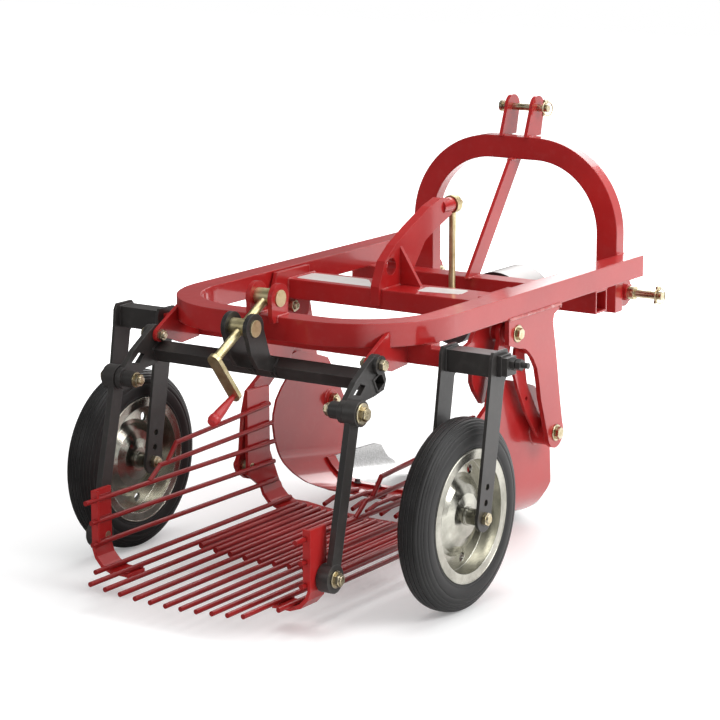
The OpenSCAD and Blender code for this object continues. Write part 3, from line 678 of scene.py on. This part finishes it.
# both sides carry the same parts unless sides says otherwise
boltSettings = {
    "leg_pivot_bolts": {"body": "frame", "y": -105, "z": 561, "parts": [
        ("shank", 284, 379, 20), ("washer", 375, 378, 43), ("hex", 378, 387, 26),
        ("hex", 295, 283, 28), ("thread", 283, 277, 20), ("washer", 358.3, 363, 34)]},
    "share_bolts": {"body": "frame", "y": 94, "z": 272, "parts": [
        ("shank", 291, 380, 20), ("washer", 375, 379, 42), ("hex", 379, 390, 28),
        ("hex", 306, 291, 30), ("thread", 291, 284, 20)]},
    "lift_pivot_bolts": {"body": "frame", "y": -654, "z": 578, "parts": [
        ("shank", 288, 336, 16), ("hex", 334.6, 347, 24), ("hex", 297, 285, 24),
        ("thread", 285, 280, 16)]},
    "link_bolts": {"body": "link_bolts", "y": -773, "z": 492, "parts": [
        ("shank", 272, 366, 20), ("washer", 360.3, 364, 50), ("hex", 364, 376, 28),
        ("washer", 276, 279.7, 36), ("hex", 276, 266, 28), ("thread", 266, 260, 20)]},
    "sieve_bolts": {"body": "sieve_bolts", "y": -275, "z": 167, "parts": [
        ("shank", 304.1, 345, 20), ("washer", 312.3, 330.7, 34), ("hex", 343.3, 354, 28),
        ("thread", 354, 358, 20)]},
    "link_foot_bolts": {"body": "sieve", "y": -859, "z": 128, "parts": [
        ("shank", 304.1, 350, 20), ("washer", 345.3, 349, 40), ("hex", 349, 361, 28),
        ("thread", 361, 365, 20)]},
    "axle_left": {"body": "frame", "y": -550, "z": 226, "sides": (-1,), "parts": axleParts},
    "axle_right": {"body": "frame", "y": -550, "z": 226, "sides": (1,), "parts": axleParts},
}


def makeBolts(node, settings):
    rows = []
    for side in settings.get("sides", (1, -1)):
        for index, (kind, near, far, width) in enumerate(settings["parts"]):
            way = side * (1 if far > near else -1)
            spin = 0.35 + 0.8 * index + side  # no two flats line up
            rows.append((at(side * near, settings["y"], settings["z"]), kinds[kind],
                         (spin, 0.0, 0.0 if way > 0 else math.pi),
                         (abs(far - near) / 1000, width / 1000, width / 1000)))
    mesh = bpy.data.meshes.new(node)
    mesh.from_pydata([row[0] for row in rows], [], [])
    mesh.attributes.new("kind", "INT", "POINT").data.foreach_set("value", [row[1] for row in rows])
    for name, column in (("turn", 2), ("size", 3)):
        flat = [number for row in rows for number in row[column]]
        mesh.attributes.new(name, "FLOAT_VECTOR", "POINT").data.foreach_set("vector", flat)
    result = bakeTree(node, mesh, fastenerTree, {
        "Shapes": fastenerShapes, "Finish": finishes["goldZinc"]})
    settle("fitted_" + node, result, "goldZinc", settings["body"], [node])


for node, settings in boltSettings.items():
    makeBolts(node, settings)
print("bolts fitted")


# pins with linch pins
linchSettings = {
    # middle of the linch pin, way of its peg, radius of the big pin
    "top_link_pin": {
        "place": (62, 574, 1026), "peg": (0.0, 0.35, 1.0), "pinRadius": 9.5, "side": 1},
    "hitch_pin_left": {
        "place": (-404, 585, 548), "peg": (0.0, 0.5, 1.0), "pinRadius": 11.0, "side": -1},
    "hitch_pin_right": {
        "place": (404, 585, 548), "peg": (0.0, 0.5, 1.0), "pinRadius": 11.0, "side": 1},
}


def makeLinch(name, settings):
    bm = bmesh.new()
    middle = at(*settings["place"])
    peg = Vector(settings["peg"]).normalized()
    radius = settings["pinRadius"]
    tail, head = -radius - 12, radius + 14
    turned(bm, axisFrame(middle, peg), [
        (tail, 0), (tail, 2.6), (tail + 3, 4.4), (head - 11, 4.4),
        (head - 10, 7.5), (head - 2, 7.5), (head, 5.5), (head, 0)], 20)
    across = Vector((settings["side"], 0, 0)).cross(peg).normalized()
    ringCentre = middle + Vector((settings["side"] * 0.009, 0, 0))
    ringAxis = Vector((1, 0, 0)) * 0.9 + across * 0.3
    hoop = roundSection(0, radius + 9, 1.8, 1.8, 8)
    turned(bm, axisFrame(ringCentre, ringAxis), hoop, 40, closed=True)
    settle("linch_" + name, meshFrom(bm, "linch_" + name, 50), "goldZinc", "frame")


for name, settings in linchSettings.items():
    makeLinch(name, settings)
print("linch pins made")


# screw thread
screwSettings = {
    "top": (9, -640, 700), "way": (0, -0.8762, -0.4819), "from": 22.0, "to": 229.0,
    "pitch": 4.0, "radius": 10.1, "ridge": 0.9,
}


def makeThreadTree():
    tree, graph, given = openTree("screwThread", [
        ("Length", "Float"), ("Pitch", "Float"), ("Radius", "Float"), ("Ridge", "Float"),
        ("Finish", "Material")])
    spiral = graph.add("GeometryNodeCurveSpiral", None, {
        "Resolution": 16, "Rotations": given["Length"] / given["Pitch"],
        "Start Radius": given["Radius"], "End Radius": given["Radius"], "Height": given["Length"]})
    section = graph.add("GeometryNodeCurvePrimitiveCircle", None, {
        "Resolution": 4, "Radius": given["Ridge"]})
    ridge = graph.add("GeometryNodeCurveToMesh", None, {
        "Curve": spiral, "Profile Curve": section, "Fill Caps": True})
    closeTree(graph, ridge, given["Finish"])
    return tree


def makeThread(settings):
    length = (settings["to"] - settings["from"]) / 1000
    result = bakeTree("screwThread", bpy.data.meshes.new("seed"), makeThreadTree(), {
        "Length": length, "Pitch": settings["pitch"] / 1000, "Radius": settings["radius"] / 1000,
        "Ridge": settings["ridge"] / 1000, "Finish": finishes["brassZinc"]})
    way = Vector(settings["way"]).normalized()
    start = at(*settings["top"]) + way * settings["from"] / 1000
    result.transform(Matrix.Translation(start) @ way.to_track_quat("Z", "Y").to_matrix().to_4x4())
    settle("screwThread", result, "brassZinc", "screw")


makeThread(screwSettings)
print("screw threaded")


# welds
def makeWeldTree():
    tree, graph, given = openTree("weldBead", [
        ("Bead Radius", "Float"), ("Ripple", "Float"), ("Step", "Float"), ("Finish", "Material")])
    path = graph.add("GeometryNodeMeshToCurve", None, {"Mesh": given["Geometry"]})
    path = graph.add("GeometryNodeResampleCurve", {"mode": "LENGTH"}, {
        "Curve": path, "Length": given["Step"]})
    along = graph.add("GeometryNodeSplineParameter", out="Length")
    wave = graph.maths("ABSOLUTE", graph.maths("SINE", along / given["Ripple"] * math.pi))
    drift = graph.add("FunctionNodeRandomValue", {"data_type": "FLOAT"}, {2: 0.85, 3: 1.12, 8: 7}, 1)
    path = graph.add("GeometryNodeSetCurveRadius", None, {
        "Curve": path, "Radius": (wave * 0.22 + 0.82) * drift})  # swells with every ripple
    section = graph.add("GeometryNodeCurvePrimitiveCircle", None, {
        "Resolution": 7, "Radius": given["Bead Radius"]})
    bead = graph.add("GeometryNodeCurveToMesh", None, {
        "Curve": path, "Profile Curve": section, "Fill Caps": True,
        "Scale": graph.add("GeometryNodeInputRadius")})
    closeTree(graph, bead, given["Finish"])
    return tree


weldTree = makeWeldTree()
rippleLength, pathStep = 0.0042, 0.0014  # metres


def circleLine(x, y, z, radius, steps=24):
    angles = circleAngles(steps) + [2 * math.pi]
    return [(x, y + radius * math.cos(a), z + radius * math.sin(a)) for a in angles]


def mirrored(lines):
    return lines + [[(-x, y, z) for x, y, z in line] for line in lines]


def barCorners(x):  # once round the lift arm's square bar, which is 36 mm wide
    angles = [math.radians(a) for a in (75, 165, 255, 345, 75)]
    return [(x, -646 + 25.46 * math.cos(a), 537 + 25.46 * math.sin(a)) for a in angles]


def besideRod(k, way, y):  # short bead at one side of sieve rod k; the outer rods lie higher
    x, z = k * 43.4 + way * 5, 46.5 + 14 * (k / 5) ** 2 + 1
    return [(x, y, z), (x, y + 12, z)]


weldSettings = {
    "frame": {"radius": 3.4, "finish": "redBead", "slot": "red_paint", "lines": mirrored([
        [(314, 296, 602), (375, 296, 602)], [(314, 356, 602), (375, 356, 602)],
        [(315, 298, 602), (315, 354, 602)], [(315, 520, 603), (315, 520, 658)],
        [(315, 560, 603), (315, 560, 658)], [(315, 522, 658), (315, 558, 658)],
        [(33, 521, 952), (33, 560, 952)], [(43, 521, 952), (43, 560, 952)],
        [(309, 560, 511), (309, 560, 585)], [(284, 560, 511), (284, 560, 585)],
        [(363, -146, 602), (363, 105, 602)],
        [(290, -499, 602), (352, -499, 602)], [(308, -459, 602), (366, -459, 602)],
        [(307, -560, 646), (307, -560, 603), (307, -502, 602)], [(297, -560, 603), (297, -502, 602)],
        circleLine(318, 94, 272, 35.5), circleLine(363, 94, 272, 35.5), circleLine(312, 94, 272, 26),
        [(-5, 276, 602), (-5, 335, 602)], [(-5, 496, 892), (-5, 553, 892)],
        [(40, 300, 542), (40, 356, 542)],
    ]) + [[(x, -607, 659), (x, -652, 659), (x, -653, 645)] for x in (-28, -16, 34, 46)]},
    "forks": {
        "radius": 3.2, "finish": "charcoal", "slot": "grey_paint", "body": "frame",
        "lines": mirrored([
            [(414.5, -505, 547), (414.5, -505, 598), (414.5, -453, 598)],
            [(539.5, -505, 547), (539.5, -505, 598), (539.5, -453, 598)],
            [(547.5, -497, 592), (547.5, -461, 592), (547.5, -459, 554)],
        ])},
    "rocker": {"radius": 3.0, "finish": "redBead", "slot": "red_paint", "lines": mirrored([
        [(297, -118, 583), (297, -118, 632), (297, 2, 632), (297, 2, 583)],
        circleLine(309, -105, 561, 22), circleLine(331, -105, 561, 22),
        circleLine(343, -105, 561, 22),
    ]) + [[(-38, -118, 632), (-38, 2, 632)], [(-13, -118, 632), (-13, 2, 632)],
          [(-38, -118, 630), (-13, -118, 630)], [(-13, -20, 632), (47, -20, 632)],
          [(-13, -20, 634), (-13, -20, 726)]]},
    "lift_arm": {"radius": 2.6, "finish": "charcoal", "slot": "grey_paint", "lines": mirrored([
        barCorners(322.3), barCorners(308.3),
    ]) + [[(x, -652, 515), (x, -668, 531), (x, -664, 545), (x, -650, 560)]
          for x in (-28, -16, 34, 46)]},
    "sieve": {"radius": 2.2, "finish": "redRod", "slot": "red_paint", "lines": mirrored(
        [[(303.2, -907, z + 5), (303.2, -850, z + 5)] for z in (119, 172.8, 226)]
        + [[(303.2, -240, z + 5), (303.2, -205, z + 5)] for z in (216, 265, 318)]
        + [besideRod(k, way, y) for k in range(6) for way in (-1, 1)
           for y in ((-910, -857, -232) if k == 5 else (-232,))])},
    "legs": {
        "radius": 4.2, "finish": "spatterBead", "slot": "red_paint", "body": "frame",
        "lines": mirrored([
            [(375.5, -148, 601), (375.5, 107, 601)], [(375.5, 107, 601), (375.5, 105, 592)],
        ])},
}


def makeWelds(name, settings):
    points, edges = [], []
    for line in settings["lines"]:
        start = len(points)
        points += [at(*point) for point in line]
        edges += [(start + k, start + k + 1) for k in range(len(line) - 1)]
    mesh = bpy.data.meshes.new("weldPath")
    mesh.from_pydata(points, edges, [])
    result = bakeTree("welds_" + name, mesh, weldTree, {
        "Bead Radius": settings["radius"] / 1000, "Ripple": rippleLength, "Step": pathStep,
        "Finish": finishes[settings["finish"]]})
    for polygon in result.polygons:
        polygon.use_smooth = True
    settle("welds_" + name, result, settings["finish"], settings.get("body", name))
    print("welds on", name, len(result.polygons), "faces")


for name, settings in weldSettings.items():
    makeWelds(name, settings)


# blank labels and blade bolts
labelSettings = {
    "labelLeft": {"corners": [(-290, -96), (-290, -14), (-118, -14), (-52, -96)],
                  "top": 632.0, "thick": 0.35, "round": 0.006},
    "labelRight": {"corners": [(72, -86), (62, -20), (178, -6), (188, -64)],
                   "top": 632.0, "thick": 0.35, "round": 0.006},
}


def makeLabel(name, settings):
    bm = bmesh.new()
    top, thick = settings["top"], settings["thick"]
    low = [bm.verts.new(at(x, y, top)) for x, y in settings["corners"]]
    high = [bm.verts.new(at(x, y, top + thick)) for x, y in settings["corners"]]
    bm.faces.new(high)
    bm.faces.new(low)
    joinRings(bm, low, high)
    upright = [edge for edge in bm.edges if abs(edge.verts[0].co.z - edge.verts[1].co.z) > 0.0001]
    bmesh.ops.bevel(bm, geom=upright, offset=settings["round"], segments=5, affect="EDGES")
    settle(name, meshFrom(bm, name), "labelPaper", "rocker")


for name, settings in labelSettings.items():
    makeLabel(name, settings)

bladeBoltSettings = {
    "across": (-215, -150, 0, 150, 215), "y": 78.0,
    # rear edge of the share's underside, its slope, its sheet together with the blade's plate
    "rearY": -40.0, "rearZ": 62.0, "slope": 8.8, "thick": 14.0,
    # along, radius
    "profile": [(-1, 0), (-1, 11), (1.2, 11), (2.4, 10), (2.4, 8.2), (9.0, 8.2), (10.5, 6.6),
                (10.5, 0)],
}


def makeBladeBolts(settings):
    bm = bmesh.new()
    slope = math.radians(settings["slope"])
    ahead = settings["y"] - settings["rearY"]
    z = settings["rearZ"] - ahead * math.tan(slope) + settings["thick"] / math.cos(slope)
    up = (0, math.sin(slope), math.cos(slope))
    for x in settings["across"]:
        turned(bm, axisFrame(at(x, settings["y"], z), up), settings["profile"], 6)
    settle("bladeBolts", meshFrom(bm, "bladeBolts", 25), "castIron", "frame")


makeBladeBolts(bladeBoltSettings)
print("labels and blade bolts made")

# floor, world and lamps
stageSettings = {
    "floor": 0.86, "paintedShadeFloor": tone(0.14, 0.13, 0.13), "floorLift": 0.22, "gloss": 0.06,
    "floorSize": 14, "reach": 4.0, "sky": 0.48,
}


def makeFloor(settings):
    bm = bmesh.new()
    bmesh.ops.create_grid(bm, x_segments=8, y_segments=8, size=settings["floorSize"])
    mesh = bpy.data.meshes.new("floor")
    bm.to_mesh(mesh)
    bm.free()
    floor = bpy.data.objects.new("floor", mesh)
    scene.collection.objects.link(floor)
    material, graph, spot = openMaterial("floorFinish")
    direct, glossy, through = graph.rays()
    reach = settings["reach"]
    rightward = graph.vector("DOT_PRODUCT", spot, brightSide, out="Value") / reach + 0.5
    side = graph.curve(rightward, (0.38, 0.0), (0.62, 1.0))  # metal sees a darker floor on its left: painted shade in the floor's reflections
    matt = graph.blend(glossy * (1 - side), grey(settings["floor"]), settings["paintedShadeFloor"])
    matt = graph.add("ShaderNodeBsdfDiffuse", None, {"Color": matt})
    shine = graph.add("ShaderNodeBsdfGlossy", None, {"Color": grey(1), "Roughness": 0.12})
    surface = graph.add("ShaderNodeMixShader", None, {0: settings["gloss"], 1: matt, 2: shine})
    away = graph.vector("LENGTH", spot, out="Value") / reach  # far floor fades to plain white
    fade = graph.curve(away, (0.3, 0.0), (0.75, 1.0)) + settings["floorLift"]
    # glossy rays see the floor glow on its bright side, a painted reflection; camera and transmission
    # rays see the evenly white floor
    lift = graph.add("ShaderNodeEmission", None, {
        "Color": grey(1), "Strength": (direct + glossy * side + through) * fade})
    both = graph.add("ShaderNodeAddShader", None, {0: surface, 1: lift})
    graph.add("ShaderNodeOutputMaterial", None, {"Surface": both})
    mesh.materials.append(material)


def makeWorld(settings):
    world = bpy.data.worlds.new("studio")
    scene.world = world
    world.use_nodes = True
    world.node_tree.nodes.clear()
    graph = Graph(world.node_tree)
    way = graph.add("ShaderNodeTexCoord", out="Generated")
    side = graph.vector("DOT_PRODUCT", way, brightSide, out="Value")
    room = graph.curve(side * 0.5 + 0.5, (0.2, 0.10), (0.50, 0.18), (0.64, 0.85), (0.85, 1.0))
    direct, glossy, through = graph.rays()
    ambient = graph.blend(glossy, grey(settings["sky"]), room)
    seen = graph.maths("MINIMUM", direct + through, 1.0)
    colour = graph.blend(seen, ambient, grey(1))
    back = graph.add("ShaderNodeBackground", None, {"Color": colour, "Strength": 1.0})
    graph.add("ShaderNodeOutputWorld", None, {"Surface": back})


lampAim = (0, 0, 0.45)
lampSettings = {
    "keyRight": {"place": (3.6, 0.6, 2.6), "size": 2.6, "power": 105.0},
    "top": {"place": (0.2, 0.2, 4.2), "size": 3.4, "power": 85.0},
    "rearFill": {"place": (-1.4, -4.2, 2.4), "size": 2.4, "power": 24.0},
    "front": {"place": (-0.8, 3.8, 2.4), "size": 2.8, "power": 75.0},
}


def makeLamps(settings):
    for name, row in settings.items():
        data = bpy.data.lights.new(name, "AREA")
        data.shape = "DISK"
        data.size = row["size"]
        data.energy = row["power"]
        lamp = bpy.data.objects.new(name, data)
        scene.collection.objects.link(lamp)
        place = Vector(row["place"])
        turn = (Vector(lampAim) - place).to_track_quat("-Z", "Y").to_matrix().to_4x4()
        lamp.matrix_world = Matrix.Translation(place) @ turn


makeFloor(stageSettings)
makeWorld(stageSettings)
makeLamps(lampSettings)
print("stage lit")
